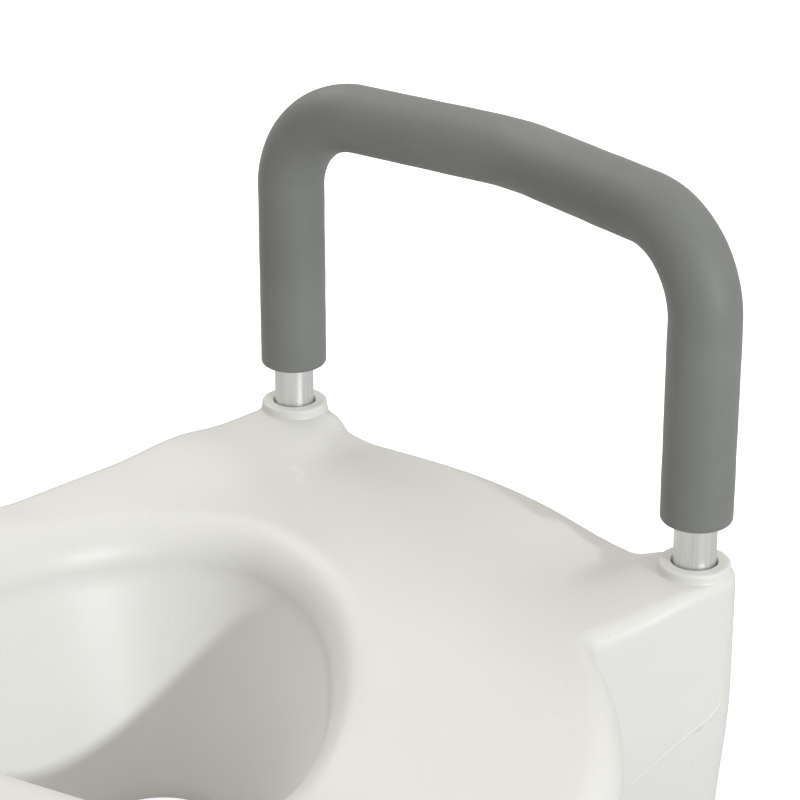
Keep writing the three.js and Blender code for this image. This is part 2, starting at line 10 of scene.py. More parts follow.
import bmesh
import bpy
import numpy as np
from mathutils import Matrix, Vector


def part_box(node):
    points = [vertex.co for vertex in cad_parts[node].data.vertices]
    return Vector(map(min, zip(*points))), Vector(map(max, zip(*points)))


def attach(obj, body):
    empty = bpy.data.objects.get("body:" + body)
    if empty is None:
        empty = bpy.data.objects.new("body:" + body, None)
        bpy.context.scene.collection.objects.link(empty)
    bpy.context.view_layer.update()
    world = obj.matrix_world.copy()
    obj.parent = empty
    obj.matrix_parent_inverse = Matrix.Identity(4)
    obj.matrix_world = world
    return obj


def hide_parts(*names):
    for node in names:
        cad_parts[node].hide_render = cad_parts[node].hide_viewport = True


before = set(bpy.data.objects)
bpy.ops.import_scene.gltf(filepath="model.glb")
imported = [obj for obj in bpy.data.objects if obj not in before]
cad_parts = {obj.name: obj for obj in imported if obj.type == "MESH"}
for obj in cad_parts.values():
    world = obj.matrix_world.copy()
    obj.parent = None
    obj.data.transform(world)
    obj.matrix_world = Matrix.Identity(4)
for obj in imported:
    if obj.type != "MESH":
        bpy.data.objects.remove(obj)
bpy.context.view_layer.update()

MM = 0.001
SIDES = {"left": 1, "right": -1}
ENDS = {"front": -1, "rear": 1}
REARWARD = (0, 1, 0)


# ---------------------------------------------------------------- places read from the frame


def box_mm(node):
    low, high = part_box(node)
    return np.array(low) / MM, np.array(high) / MM


def middle_mm(node):
    low, high = box_mm(node)
    return (low + high) / 2


FRONT_SOCKET = middle_mm("arm_left_front_insert")
REAR_SOCKET = middle_mm("arm_left_rear_insert")
LEG_X = FRONT_SOCKET[0]
LEG_Y = (REAR_SOCKET[1] - FRONT_SOCKET[1]) / 2
MID_Y = (REAR_SOCKET[1] + FRONT_SOCKET[1]) / 2


def box_seat(node):
    """A node's box in seat coordinates, in millimetres."""
    low, high = box_mm(node)
    shift = np.array([0, MID_Y, 0])
    return low - shift, high - shift


def to_frame(points):
    points = np.asarray(points, float)
    return (points + np.array([0, MID_Y, 0])) * MM


BODY_LOW, BODY_HIGH = box_seat("seat_body")
TUBE_LOW, TUBE_HIGH = box_seat("arm_left_tube")
GRIP_LOW, GRIP_HIGH = box_seat("arm_left_grip")

# arms: the bar bows outward by BAR_BULGE between the two bends
TUBE_RADIUS = TUBE_HIGH[1] - LEG_Y
TUBE_WALL = 1.3
TUBE_FOOT = TUBE_LOW[2]
TUBE_END_RADIUS = 0.5
GRIP_RADIUS = GRIP_HIGH[1] - LEG_Y
GRIP_END = GRIP_LOW[2]
GRIP_END_RADIUS = 2.4
GRIP_CLEARANCE = 0.15
GRIP_UNEVEN = 0.1
CREASE_PITCH = 2.6
CREASE_DEPTH = 0.34
BAR_Z = TUBE_HIGH[2] - TUBE_RADIUS
BAR_BULGE = 24.5
BEND_RADIUS = 47
BOW_RADIUS = 110

# seat body, its walls and edges
BOSS_TOP = BODY_HIGH[2]
CORNER_RADIUS = BODY_HIGH[1] - LEG_Y
NOSE_Y = BODY_LOW[1]
NOSE_CENTRE_Y = -100
NOSE_HALF_WIDTH = 175
NOSE_ROLL = 20
COLUMN_SLANT = 0.29
COLUMN_EASE = 12
COLUMN_ROLL = 9
VALLEY_BLEND = 8
SIDE_WAIST = 6
SIDE_BULGE = 3
DECK_ROLL = 13
CORNER_ROLL = 3.2
CORNER_DROP = 5.6
WALL = 3.6
LIP_RADIUS = 1.2
SKIRT_TUCK = 5
SKIRT_TUCK_TOP = 80
REST_PLANE = 24
NOTCH_HALF_WIDTH = 125
VENT_RADIUS = 4
VENT_X = 200
VENT_Y = 126
RELIEF_RADIUS = 0.7
RELIEF_SUNK = 0.3
RELIEF_PATH = [
    (LEG_X + 3, 80), (LEG_X - 7, 73), (LEG_X - 29, 63), (LEG_X - 47, 50), (LEG_X - 56, 45)
]

# deck: how it falls to the sides, rises to the rear and dips into the scoop
DECK = 144
SIDE_START_X = 150
SIDE_FULL_X = 240
SIDE_DROP = 7
SIDE_CROWN = 8.5
SIDE_DIP = 2
SIDE_DIP_Y = -77
SIDE_DIP_LENGTH = 30
REAR_START_Y = 90
REAR_FULL_Y = 150
REAR_RISE = 4.6
REAR_MIDDLE_RISE = 2
REAR_SIDE_RISE = 4
SCOOP_DEPTH = 46
SCOOP_WIDTH = 108
SCOOP_START_Y = 20
SCOOP_FULL_Y = -110

# opening
EGG_Y = 42
EGG_HALF_WIDTH = 120
EGG_REAR = 76
EGG_FRONT = 132
EGG_POWER = 2
RIM_ROLL = 24
FUNNEL = 44
SPLASH_END = 2

# sockets and the shoulders round them
COLLAR_RADIUS = 18.8
COLLAR_HEIGHT = 5
SOCKET_BORE = 11.8
SOCKET_FLOOR = 40
PLATEAU = BOSS_TOP - COLLAR_HEIGHT - 0.2
SHOULDER_FRONT = 52
SHOULDER_REAR = 32
SHOULDER_INWARD = 76

# clamp and hand screws
CLAMP_Z = middle_mm("clamp_spindle")[2]
CLAMP_CENTRE = (0, CLAMP_Z)
CHANNEL_HALF_WIDTH = 22
CHANNEL_FRONT = NOSE_Y + 12
CHANNEL_REAR = NOSE_Y + 102
CHANNEL_TOP = 62
BUSH_HOLE = 9.3
SPINDLE_RADIUS = 6
SPINDLE_BORE = 6.3
SPINDLE_PITCH = 4
SCREW_RADIUS = 3.9
SCREW_BORE = SCREW_RADIUS + 0.3
SCREW_HOLE = SCREW_RADIUS + 0.5
SCREW_PITCH = 1.25


# ---------------------------------------------------------------- materials


def new_material(name, colour, roughness, metallic=0.0):
    """A material, its node tree and its Principled shader."""
    material = bpy.data.materials.new(name)
    material.use_nodes = True
    tree = material.node_tree
    shader = tree.nodes["Principled BSDF"]
    shader.inputs["Base Color"].default_value = (*colour, 1)
    shader.inputs["Roughness"].default_value = roughness
    shader.inputs["Metallic"].default_value = metallic
    return material, tree, shader


def noise(tree, scale, detail=3.0, stretch=(1, 1, 1)):
    """Noise over the object's own coordinates, scale in features per metre."""
    coordinates = tree.nodes.new("ShaderNodeTexCoord")
    mapping = tree.nodes.new("ShaderNodeMapping")
    mapping.inputs["Scale"].default_value = stretch
    texture = tree.nodes.new("ShaderNodeTexNoise")
    texture.inputs["Scale"].default_value = scale
    texture.inputs["Detail"].default_value = detail
    tree.links.new(coordinates.outputs["Object"], mapping.inputs["Vector"])
    tree.links.new(mapping.outputs["Vector"], texture.inputs["Vector"])
    return texture.outputs["Fac"]


def ramp(tree, factor, stops):
    """A colour ramp through pairs of position and colour."""
    node = tree.nodes.new("ShaderNodeValToRGB")
    elements = node.color_ramp.elements
    while len(elements) < len(stops):
        elements.new(0.5)
    for element, (position, colour) in zip(elements, stops):
        element.position = position
        element.color = (*colour, 1)
    tree.links.new(factor, node.inputs["Fac"])
    return node.outputs["Color"]


def multiply(tree, first, second):
    node = tree.nodes.new("ShaderNodeMix")
    node.data_type = "RGBA"
    node.blend_type = "MULTIPLY"
    node.inputs["Factor"].default_value = 1
    tree.links.new(first, node.inputs["A"])
    tree.links.new(second, node.inputs["B"])
    return node.outputs["Result"]


def span(tree, factor, low, high):
    """Maps a 0 to 1 factor onto low to high."""
    node = tree.nodes.new("ShaderNodeMapRange")
    node.inputs["To Min"].default_value = low
    node.inputs["To Max"].default_value = high
    tree.links.new(factor, node.inputs["Value"])
    return node.outputs["Result"]


def bump(tree, shader, heights):
    """Chains bumps onto the shader's normal, from triples of height, depth in metres and strength."""
    normal = None
    for height, depth, strength in heights:
        node = tree.nodes.new("ShaderNodeBump")
        node.inputs["Distance"].default_value = depth
        node.inputs["Strength"].default_value = strength
        tree.links.new(height, node.inputs["Height"])
        if normal is not None:
            tree.links.new(normal, node.inputs["Normal"])
        normal = node.outputs["Normal"]
    tree.links.new(normal, shader.inputs["Normal"])


def grey(value):
    return (value, value, value)


def white_plastic():
    material, tree, shader = new_material("white_moulded_plastic", (0.81, 0.81, 0.79), 0.4)
    tint = ramp(tree, noise(tree, 7, 4), [(0.3, (0.66, 0.655, 0.634)), (0.7, (0.683, 0.678, 0.657))])
    specks = ramp(tree, noise(tree, 260, 1), [(0.2, grey(0.93)), (0.235, grey(1.0))])
    tree.links.new(multiply(tree, tint, specks), shader.inputs["Base Color"])
    tree.links.new(span(tree, noise(tree, 60, 4), 0.34, 0.46), shader.inputs["Roughness"])
    shader.inputs["Subsurface Weight"].default_value = 0.12
    shader.inputs["Subsurface Radius"].default_value = (1.0, 0.8, 0.6)
    shader.inputs["Subsurface Scale"].default_value = 0.006
    shader.inputs["Specular IOR Level"].default_value = 0.4
    bump(tree, shader, [
        (noise(tree, 30, 2), 0.0006, 0.25),
        (noise(tree, 1400, 2), 0.00004, 0.5),
    ])
    return material


def grip_foam():
    material, tree, shader = new_material("grey_closed_cell_foam", (0.2, 0.205, 0.2), 0.6)
    tone = ramp(tree, noise(tree, 14, 5), [(0.3, (0.162, 0.169, 0.16)), (0.7, (0.19, 0.198, 0.187))])
    cells = ramp(tree, noise(tree, 2600, 2), [(0.3, grey(0.86)), (0.62, grey(1.0))])
    tree.links.new(multiply(tree, tone, cells), shader.inputs["Base Color"])
    tree.links.new(span(tree, noise(tree, 45, 4), 0.5, 0.66), shader.inputs["Roughness"])
    shader.inputs["Specular IOR Level"].default_value = 0.45
    shader.inputs["Sheen Weight"].default_value = 0.12
    shader.inputs["Sheen Roughness"].default_value = 0.5
    bump(tree, shader, [
        (noise(tree, 90, 3), 0.0005, 0.2),
        (noise(tree, 2200, 3), 0.00012, 0.55),
    ])
    return material


def satin_aluminium():
    material, tree, shader = new_material("satin_anodised_aluminium", (0.8, 0.81, 0.8), 0.3, 1.0)
    drawn = noise(tree, 900, 3, stretch=(1, 1, 0.012))
    tone = ramp(tree, drawn, [(0.25, (0.74, 0.755, 0.75)), (0.75, (0.86, 0.865, 0.86))])
    tree.links.new(tone, shader.inputs["Base Color"])
    tree.links.new(span(tree, drawn, 0.26, 0.42), shader.inputs["Roughness"])
    bump(tree, shader, [(drawn, 0.00002, 0.4), (noise(tree, 2400, 2), 0.00002, 0.3)])
    return material


def plated_steel():
    material, tree, shader = new_material("zinc_plated_steel", (0.62, 0.63, 0.64), 0.32, 1.0)
    tone = ramp(tree, noise(tree, 160, 5), [(0.3, (0.55, 0.56, 0.57)), (0.7, (0.68, 0.69, 0.7))])
    tree.links.new(tone, shader.inputs["Base Color"])
    tree.links.new(span(tree, noise(tree, 420, 4), 0.24, 0.44), shader.inputs["Roughness"])
    bump(tree, shader, [(noise(tree, 1800, 3), 0.00003, 0.4)])
    return material


def grey_plastic():
    material, tree, shader = new_material("grey_moulded_plastic", (0.27, 0.285, 0.28), 0.48)
    tone = ramp(tree, noise(tree, 40, 4), [(0.3, (0.255, 0.27, 0.265)), (0.7, (0.285, 0.30, 0.295))])
    tree.links.new(tone, shader.inputs["Base Color"])
    tree.links.new(span(tree, noise(tree, 120, 4), 0.42, 0.56), shader.inputs["Roughness"])
    bump(tree, shader, [(noise(tree, 1600, 2), 0.00007, 0.5)])
    return material


def black_rubber():
    material, tree, shader = new_material("black_rubber", (0.035, 0.036, 0.037), 0.75)
    tone = ramp(tree, noise(tree, 90, 4), [(0.3, grey(0.03)), (0.7, (0.048, 0.047, 0.046))])
    tree.links.new(tone, shader.inputs["Base Color"])
    tree.links.new(span(tree, noise(tree, 300, 3), 0.66, 0.85), shader.inputs["Roughness"])
    bump(tree, shader, [(noise(tree, 2000, 2), 0.0001, 0.6)])
    return material


PLASTIC = white_plastic()
FOAM = grip_foam()
ALUMINIUM = satin_aluminium()
STEEL = plated_steel()
GREY_PLASTIC = grey_plastic()
RUBBER = black_rubber()


# ---------------------------------------------------------------- mesh tools


def smooth(start, end, value):
    """0 at start and 1 at end, with a soft change between."""
    t = np.clip((value - start) / (end - start), 0, 1)
    return t * t * (3 - 2 * t)


def blur(values, reach):
    """A running mean round a closed row of values."""
    shifted = [np.roll(values, k) for k in range(-reach, reach + 1)]
    return np.mean(shifted, axis=0)


def add_object(name, mesh):
    made = bpy.data.objects.new(name, mesh)
    bpy.context.scene.collection.objects.link(made)
    return made


def tidy_mesh(mesh, merge=1e-7):
    """Merges doubled points, drops faces of no area and turns every face outward."""
    work = bmesh.new()
    work.from_mesh(mesh)
    bmesh.ops.remove_doubles(work, verts=work.verts, dist=merge)
    bmesh.ops.dissolve_degenerate(work, edges=work.edges, dist=merge)
    bmesh.ops.recalc_face_normals(work, faces=work.faces)
    work.to_mesh(mesh)
    work.free()


def loft(name, rings, cyclic=False):
    """A closed skin over rings of equal count, given in seat millimetres as (ring, point, xyz).
    A ring of no size becomes a pole; cyclic joins the last ring to the first."""
    rings = np.asarray(rings, float)
    levels, count = rings.shape[:2]
    faces = []
    for level in range(levels if cyclic else levels - 1):
        here = level * count
        above = ((level + 1) % levels) * count
        for i in range(count):
            j = (i + 1) % count
            faces.append((here + i, here + j, above + j, above + i))
    mesh = bpy.data.meshes.new(name)
    mesh.from_pydata(to_frame(rings.reshape(-1, 3)), [], faces)
    tidy_mesh(mesh)
    return add_object(name, mesh)


def capped(rings):
    """Rings with a pole added at each end, so that a loft over them is closed."""
    poles = [np.tile(np.mean(rings[end], axis=0), (len(rings[end]), 1)) for end in (0, -1)]
    return [poles[0], *rings, poles[1]]


def rounded(profile, radius, closed=False, steps=5):
    """Rounds the corners of a profile of pairs. A third value on a pair sets its own radius."""
    points = [np.array(p[:2], float) for p in profile]
    sizes = [p[2] if len(p) > 2 else radius for p in profile]
    out = []
    last = len(points) - 1
    for i, point in enumerate(points):
        if not closed and i in (0, last):
            out.append(point)
            continue
        before = points[i - 1] - point
        after = points[(i + 1) % len(points)] - point
        reach = min(sizes[i], 0.49 * np.linalg.norm(before), 0.49 * np.linalg.norm(after))
        if reach < 1e-3:
            out.append(point)
            continue
        start = point + before / np.linalg.norm(before) * reach
        end = point + after / np.linalg.norm(after) * reach
        for step in range(steps + 1):
            t = step / steps
            out.append(start * (1 - t) ** 2 + 2 * point * t * (1 - t) + end * t ** 2)
    return out


def turned_rings(profile, centre, axis="z", segments=64, shape=None):
    """Rings of a turned piece. centre is the axis' place; shape(angle, radius, height) may change
    the radius, for lobes or a thread."""
    angles = np.linspace(0, 2 * pi, segments, endpoint=False)
    rings = []
    for radius, height in profile:
        reach = np.full(segments, float(radius))
        if shape is not None and radius > 0:
            reach = reach + shape(angles, radius, height)
        across, up = reach * np.cos(angles), reach * np.sin(angles)
        if axis == "z":
            ring = np.stack([centre[0] + across, centre[1] + up, np.full(segments, height)], 1)
        else:
            ring = np.stack([centre[0] + across, np.full(segments, height), centre[1] + up], 1)
        rings.append(ring)
    return rings


def turned(name, profile, centre, axis="z", radius=0.5, closed=False, segments=64, shape=None, steps=5):
    """A solid of revolution. closed marks a ring section that doesn't touch the axis."""
    outline = rounded(profile, radius, closed, steps)
    return loft(name, turned_rings(outline, centre, axis, segments, shape), cyclic=closed)


def block(name, low, high, bevel=0.8, segments=3):
    """A box between two corners, with rounded edges."""
    low, high = np.array(low, float), np.array(high, float)
    mesh = bpy.data.meshes.new(name)
    work = bmesh.new()
    bmesh.ops.create_cube(work, size=1)
    centre, size = to_frame((low + high) / 2), (high - low) * MM
    for vertex in work.verts:
        vertex.co = Vector(centre + np.array(vertex.co) * size)
    if bevel:
        bmesh.ops.bevel(
            work, geom=work.edges[:], offset=bevel * MM, segments=segments, profile=0.5, affect="EDGES"
        )
    work.to_mesh(mesh)
    work.free()
    return add_object(name, mesh)


def settle(piece):
    """Turns a piece's modifiers into its mesh."""
    graph = bpy.context.evaluated_depsgraph_get()
    mesh = bpy.data.meshes.new_from_object(piece.evaluated_get(graph))
    piece.modifiers.clear()
    old = piece.data
    piece.data = mesh
    bpy.data.meshes.remove(old)


def combine(piece, others, operation):
    """Adds to or cuts from a piece, using up the other objects."""
    for other in others:
        cut = piece.modifiers.new("combine", "BOOLEAN")
        cut.operation = operation
        cut.solver = "MANIFOLD"
        cut.object = other
        settle(piece)
        mesh = other.data
        bpy.data.objects.remove(other)
        bpy.data.meshes.remove(mesh)


def dress(piece, node, body, material, sharp=38):
    """Gives a piece its finish and ties it to the frame."""
    mesh = piece.data
    mesh.materials.clear()
    mesh.materials.append(material)
    mesh.shade_smooth()
    mesh.set_sharp_from_angle(angle=radians(sharp))
    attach(piece, body)
    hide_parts(node)


# ---------------------------------------------------------------- seat body


def shoulder(x, y):
    """1 on the flat shoulder about each socket, falling to 0: gently inward, more steeply along
    the side, and most steeply along the side from a rear socket."""
    inward = np.maximum(LEG_X - np.abs(x), 0)
    along = np.maximum(LEG_Y - np.abs(y), 0)
    distance = np.hypot(inward, along)
    share = inward / np.maximum(distance, 1e-6)
    reach = np.where(y < 0, SHOULDER_FRONT, SHOULDER_REAR)
    foot = reach + (SHOULDER_INWARD - reach) * share
    return 1 - smooth(CORNER_RADIUS - 3, foot, distance)


def deck_height(x, y):
    """Level but for the fall to the sides, the rise to the rear and the scoop, and drawn up to
    the plateau round each socket."""
    side = np.abs(x)
    middle = np.cos(pi * np.clip(y / (2 * LEG_Y), -0.5, 0.5)) ** 2
    dip = SIDE_DIP * np.exp(-(((y - SIDE_DIP_Y) / SIDE_DIP_LENGTH) ** 2))
    side_drop = smooth(SIDE_START_X, SIDE_FULL_X, side) * (SIDE_DROP - SIDE_CROWN * middle + dip)
    rear_rise = smooth(REAR_START_Y, REAR_FULL_Y, y) * (
        REAR_RISE + REAR_MIDDLE_RISE * smooth(60, 30, side) + REAR_SIDE_RISE * smooth(125, 185, side)
    )
    scoop = SCOOP_DEPTH * smooth(SCOOP_START_Y, SCOOP_FULL_Y, y) * np.exp(-((x / SCOOP_WIDTH) ** 2))
    height = DECK - side_drop + rear_rise - scoop
    return height + (PLATEAU - height) * shoulder(x, y)


def front_wall(x):
    """The front edge in plan: whichever of the nose and the column's face stands further forward,
    with a soft valley where they meet."""
    side = np.abs(x)
    share = np.clip(side / NOSE_HALF_WIDTH, 0, 1)
    nose = NOSE_CENTRE_Y + (NOSE_Y - NOSE_CENTRE_Y) * np.sqrt(1 - share ** 2)
    inward = LEG_X - side
    eased = inward - COLUMN_EASE * (1 - np.exp(-inward / COLUMN_EASE))
    column = -LEG_Y - CORNER_RADIUS + COLUMN_SLANT * eased
    return -VALLEY_BLEND * np.logaddexp(-nose / VALLEY_BLEND, -column / VALLEY_BLEND)


def side_wall(y):
    """The side edge in plan: drawn in between the corners, with a slight bulge."""
    t = (y + LEG_Y) / (2 * LEG_Y)
    waist = SIDE_WAIST * smooth(0, 0.12, t) * smooth(0, 0.12, 1 - t)
    return LEG_X + CORNER_RADIUS - waist + SIDE_BULGE * np.sin(pi * t)


class Outline:
    """The seat's edge in plan, as stations: a point, its outward normal, the sizes of the rolled
    edge across and down, and the ray from the middle of the opening."""

    def __init__(self, spacing=3.0):
        half = self.half(spacing)
        mirrored = half[-2:0:-1] * np.array([-1, 1, 1, 1])
        points = np.concatenate([half, mirrored])
        self.x, self.y, across, down = points.T
        along = np.roll(points[:, :2], -1, 0) - np.roll(points[:, :2], 1, 0)
        along /= np.linalg.norm(along, axis=1)[:, None]
        self.nx, self.ny = -along[:, 1], along[:, 0]
        self.across = blur(across, 4)
        self.down = blur(down, 4)
        ray = np.stack([self.x, self.y - EGG_Y])
        self.rx, self.ry = ray / np.linalg.norm(ray, axis=0)

    @staticmethod
    def half(spacing):
        """Stations from the middle of the rear, round the left side, to the tip of the nose."""

        def stretch(length):
            return int(round(length / spacing))

        arc_steps = 14
        rear_x = np.linspace(0, LEG_X, stretch(LEG_X), endpoint=False)
        rear = [(x, LEG_Y + CORNER_RADIUS, DECK_ROLL, DECK_ROLL) for x in rear_x]
        side_y = np.linspace(LEG_Y, -LEG_Y, stretch(2 * LEG_Y) + 1)[1:-1]
        side = [(side_wall(y), y, DECK_ROLL, DECK_ROLL) for y in side_y]
        corners = []
        for end, start in ((1, pi / 2), (-1, 0)):
            turns = start - np.linspace(0, pi / 2, arc_steps + 1)
            corners.append([
                (
                    LEG_X + CORNER_RADIUS * cos(a),
                    end * LEG_Y + CORNER_RADIUS * sin(a),
                    CORNER_ROLL,
                    CORNER_DROP,
                )
                for a in turns
            ])
        front_x = np.linspace(LEG_X, 0, 2400)
        front_y = front_wall(front_x)
        lengths = np.concatenate([[0], np.cumsum(np.hypot(np.diff(front_x), np.diff(front_y)))])
        stops = np.linspace(0, lengths[-1], stretch(lengths[-1]) + 1)[1:]
        front = []
        for x, y in zip(np.interp(stops, lengths, front_x), np.interp(stops, lengths, front_y)):
            column = CORNER_ROLL + (COLUMN_ROLL - CORNER_ROLL) * smooth(LEG_X - 4, LEG_X - 40, x)
            size = column + (NOSE_ROLL - column) * smooth(NOSE_HALF_WIDTH, 130, x)
            front.append((x, y, size, max(size, CORNER_DROP)))
        return np.array([*rear, *corners[0], *side, *corners[1], *front])

    def egg(self, outset):
        """Points outset from the wall of the opening, along each station's ray."""
        reach = np.where(self.ry > 0, EGG_REAR, EGG_FRONT)
        total = np.abs(self.rx / EGG_HALF_WIDTH) ** EGG_POWER + np.abs(self.ry / reach) ** EGG_POWER
        radius = total ** (-1 / EGG_POWER) + outset
        return self.rx * radius, EGG_Y + self.ry * radius

    def wall(self, inset, z):
        """Points on the outside wall at height z, moved inward by inset."""
        draw_in = inset + SKIRT_TUCK * smooth(SKIRT_TUCK_TOP, 0, z)
        return self.x - self.nx * draw_in, self.y - self.ny * draw_in

    def rim_foot(self):
        """The height at which the rim's roll meets the opening's wall."""
        return deck_height(*self.egg(0)) - RIM_ROLL

    def funnel(self, outset, z):
        """Points outset from the opening's wall at height z, where it narrows on its way down."""
        share = (z - SPLASH_END) / (self.rim_foot() - SPLASH_END)
        return self.egg(outset - FUNNEL * (1 - share))


def body_rings(edge):
    """Rings over the whole moulding: up the opening's wall, over the deck, down the outside, and
    back along the underside."""
    rings = []

    def add(xy, z):
        x, y = xy
        rings.append(np.stack([x, y, np.broadcast_to(z, x.shape)], 1))

    # the opening's wall and its rolled rim
    foot = edge.rim_foot()
    for share in np.linspace(0.02, 1, 16)[:-1]:
        z = SPLASH_END + (foot - SPLASH_END) * share
        add(edge.funnel(0, z), z)
    for angle in np.radians(np.linspace(90, 0, 17)):
        xy = edge.egg(RIM_ROLL * (1 - sin(angle)))
        add(xy, deck_height(*xy) - RIM_ROLL * (1 - cos(angle)))

    # the deck and its outer edge
    start = np.stack(edge.egg(RIM_ROLL))
    end = np.stack([edge.x - edge.nx * edge.across, edge.y - edge.ny * edge.across])
    for share in np.linspace(0, 1, 33)[1:]:
        xy = start + (end - start) * share
        add(xy, deck_height(*xy))
    for angle in np.radians(np.linspace(0, 90, 11)[1:]):
        inset = edge.across * (1 - sin(angle))
        flat = edge.x - edge.nx * inset, edge.y - edge.ny * inset
        z = deck_height(*flat) - edge.down * (1 - cos(angle))
        add(edge.wall(inset, z), z)

    # the outside wall down to its rounded lower edge, and up inside the skirt
    wall_top = deck_height(edge.x, edge.y) - edge.down
    for share in np.linspace(0, 1, 27)[1:-1]:
        z = wall_top * (1 - share)
        add(edge.wall(0, z), z)
    near = 0.35
    outer_lip = [(LIP_RADIUS, 0), (near, near), (0, LIP_RADIUS)]
    inner_lip = [(z, WALL - inset) for z, inset in reversed(outer_lip)]
    for z, inset in outer_lip + inner_lip:
        add(edge.wall(inset, z), z)
    for z in np.linspace(0, REST_PLANE - 3, 6)[1:]:
        add(edge.wall(WALL, z), z)

    # the rest plane, and down inside the splash guard
    outer = np.stack(edge.wall(WALL + 3, REST_PLANE))
    inner = np.stack(edge.funnel(WALL + 3, REST_PLANE))
    add(edge.wall(WALL + 0.9, REST_PLANE - 0.9), REST_PLANE - 0.9)
    for share in np.linspace(0, 1, 15):
        add(outer + (inner - outer) * share, REST_PLANE)
    add(edge.funnel(WALL + 0.9, REST_PLANE - 0.9), REST_PLANE - 0.9)
    for z in np.linspace(REST_PLANE - 3, SPLASH_END + LIP_RADIUS, 6):
        add(edge.funnel(WALL, z), z)
    add(edge.funnel(WALL - LIP_RADIUS, SPLASH_END), SPLASH_END)
    add(edge.funnel(LIP_RADIUS, SPLASH_END), SPLASH_END)
    return rings


def each_socket():
    """The names and the place of each of the four sockets."""
    for side_name, side in SIDES.items():
        for end_name, end in ENDS.items():
            yield side_name, end_name, side * LEG_X, end * LEG_Y


def collar(x, y):
    """The collar round a socket, with a soft foot on the deck and a rounded rim."""
    base = BOSS_TOP - COLLAR_HEIGHT
    root = CORNER_RADIUS - 4.5
    profile = [
        (0, base - 30),
        (root, base - 30),
        (root, base - 6),
        (COLLAR_RADIUS + 0.9, base - 1.2, 1.2),
        (COLLAR_RADIUS, base + 0.6, 0.8),
        (COLLAR_RADIUS - 0.2, BOSS_TOP, 1.7),
        (0, BOSS_TOP),
    ]
    return turned("collar", profile, (x, y), radius=0.6, segments=72)


def socket_cutter(x, y):
    """The bore that takes a leg, with an eased mouth."""
    mouth = SOCKET_BORE + 0.9
    profile = [
        (0, SOCKET_FLOOR),
        (SOCKET_BORE, SOCKET_FLOOR, 1),
        (SOCKET_BORE, BOSS_TOP - 1.2, 0.8),
        (mouth, BOSS_TOP + 0.4, 0.4),
        (mouth, BOSS_TOP + 6, 0),
        (0, BOSS_TOP + 6),
    ]
    return turned("socket_cutter", profile, (x, y), segments=72)


def relief_line(body, side):
    """A thin raised line on a front column's face, its foot sunk in the wall."""
    segments = 12
    path = np.array(rounded([np.array(p, float) for p in RELIEF_PATH], 14, steps=8))
    last = len(path) - 1
    angles = np.linspace(0, 2 * pi, segments, endpoint=False)
    rings = []
    for i, (x, z) in enumerate(path):
        along = path[min(i + 1, last)] - path[max(i - 1, 0)]
        along = along / np.linalg.norm(along)
        start = to_frame(np.array([side * x, NOSE_Y, z]))
        _, wall, _, _ = body.ray_cast(Vector(start), REARWARD)
        y = NOSE_Y + (wall.y - start[1]) / MM + RELIEF_SUNK
        reach = RELIEF_RADIUS * (0.02 if i in (0, last) else 1)
        rings.append([
            (side * (x - along[1] * reach * cos(a)), y + reach * sin(a), z + along[0] * reach * cos(a))
            for a in angles
        ])
    return loft("relief_line", capped(rings))


def drill(radius, bottom, top, x, y, axis="z", segments=40):
    """A plain cylinder to cut a hole with."""
    profile = [(0, bottom), (radius, bottom), (radius, top), (0, top)]
    return turned("drill", profile, (x, y), axis, radius=0, segments=segments)


def seat_body():
    """The moulding: its skin, then the bush's boss, the collars and the relief lines added to it,
    and the clamp's channel, the rear notch and the bores cut from it."""
    body = loft("seat_body_moulding", body_rings(Outline()), cyclic=True)
    boss_rear = CHANNEL_FRONT + 2
    bush_boss = turned(
        "bush_boss", [(0, NOSE_Y), (16, NOSE_Y, 1.2), (17.5, boss_rear), (0, boss_rear)],
        CLAMP_CENTRE, axis="y", segments=64,
    )
    additions = [bush_boss]
    additions += [collar(x, y) for _, _, x, y in each_socket()]
    additions += [relief_line(body, side) for side in SIDES.values()]
    combine(body, additions, "UNION")
    channel = block(
        "channel",
        (-CHANNEL_HALF_WIDTH, CHANNEL_FRONT, REST_PLANE - 8),
        (CHANNEL_HALF_WIDTH, CHANNEL_REAR, CHANNEL_TOP),
        bevel=2,
    )
    notch = block(
        "notch", (-NOTCH_HALF_WIDTH, LEG_Y, -12), (NOTCH_HALF_WIDTH, LEG_Y + 30, REST_PLANE),
        bevel=7, segments=6,
    )
    bush_hole = drill(BUSH_HOLE, NOSE_Y - 5, CHANNEL_FRONT + 5, 0, CLAMP_Z, "y", 64)
    cuts = [channel, notch, bush_hole]
    for _, _, x, y in each_socket():
        cuts.append(socket_cutter(x, y))
        cuts.append(drill(SCREW_HOLE, 0, SOCKET_FLOOR + 5, x, y))
        cuts.append(drill(
            VENT_RADIUS, REST_PLANE - 5, REST_PLANE + 8, np.sign(x) * VENT_X, np.sign(y) * VENT_Y
        ))
    combine(body, cuts, "DIFFERENCE")
    tidy_mesh(body.data, merge=2e-6)
    dress(body, "seat_body", "seat", PLASTIC, sharp=48)


# ---------------------------------------------------------------- arms


